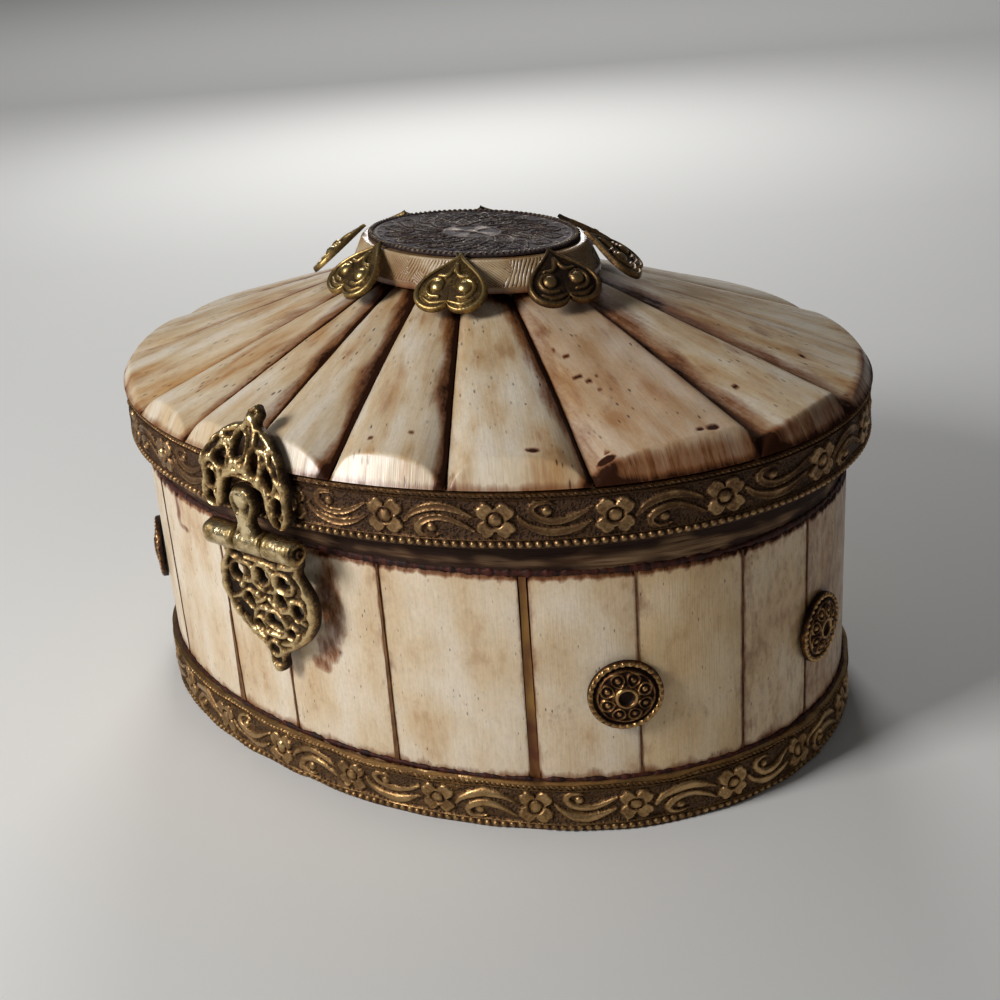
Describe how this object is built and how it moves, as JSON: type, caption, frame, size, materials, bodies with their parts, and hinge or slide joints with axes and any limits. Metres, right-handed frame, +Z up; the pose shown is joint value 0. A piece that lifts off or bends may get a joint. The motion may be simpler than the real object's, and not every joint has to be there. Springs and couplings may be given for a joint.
{
  "type": "trinket box",
  "caption": "Oval bone-clad trinket box with embossed brass bands, a fluted hinged lid with a heart-trimmed crown, and a swinging front latch.",
  "frame": {"origin": "middle of the foot, on the plane that the box rests on", "axes": "+X along the oval's long axis, -Y towards the latch at the front, +Y towards the hinge, +Z up"},
  "size_m": [0.155, 0.1332, 0.0919],
  "materials": {
    "bone": null,
    "wood_core": "bare dark wood",
    "band_brass": "thin embossed sheet brass, worn bright on the relief",
    "dark_brass": "thin embossed sheet brass, darkened with age",
    "cast_brass": "cast brass with dark recesses",
    "hinge_brass": "dull dark brass"
  },
  "bodies": {
    "case": {"base_board": "wood_core", "core_wall": "wood_core", "stave_01": "bone", "stave_02": "bone", "stave_03": "bone", "stave_04": "bone", "stave_05": "bone", "stave_06": "bone", "stave_07": "bone", "stave_08": "bone", "stave_09": "bone", "stave_10": "bone", "stave_11": "bone", "stave_12": "bone", "stave_13": "bone", "stave_14": "bone", "stave_15": "bone", "stave_16": "bone", "base_band": "band_brass", "medallion_1": "cast_brass", "medallion_2": "cast_brass", "medallion_3": "cast_brass", "medallion_4": "cast_brass", "medallion_5": "cast_brass", "medallion_6": "cast_brass", "latch_plate_lower": "cast_brass", "latch_pin": "hinge_brass", "hinge_leaf_lower": "hinge_brass", "hinge_pin": "hinge_brass"},
    "lid": {"lid_shell": "wood_core", "petal_01": "bone", "petal_02": "bone", "petal_03": "bone", "petal_04": "bone", "petal_05": "bone", "petal_06": "bone", "petal_07": "bone", "petal_08": "bone", "petal_09": "bone", "petal_10": "bone", "petal_11": "bone", "petal_12": "bone", "petal_13": "bone", "petal_14": "bone", "petal_15": "bone", "petal_16": "bone", "lid_band": "dark_brass", "crown_boss": "bone", "crown_plate": "dark_brass", "heart_1": "cast_brass", "heart_2": "cast_brass", "heart_3": "cast_brass", "heart_4": "cast_brass", "heart_5": "cast_brass", "heart_6": "cast_brass", "heart_7": "cast_brass", "heart_8": "cast_brass", "latch_plate_upper": "cast_brass", "hinge_leaf_upper": "hinge_brass"},
    "latch_tongue": {"latch_tongue": "cast_brass"}
  },
  "joints": [
    {"name": "lid_hinge", "type": "hinge", "parent": "case", "child": "lid", "pos_m": [0, 0.0664, 0.056], "axis": [-1, 0, 0], "range_deg": [0, 105]},
    {"name": "latch_hinge", "type": "hinge", "parent": "case", "child": "latch_tongue", "pos_m": [0, -0.0622, 0.052], "axis": [1, 0, 0], "range_deg": [0, 135]}
  ]
}
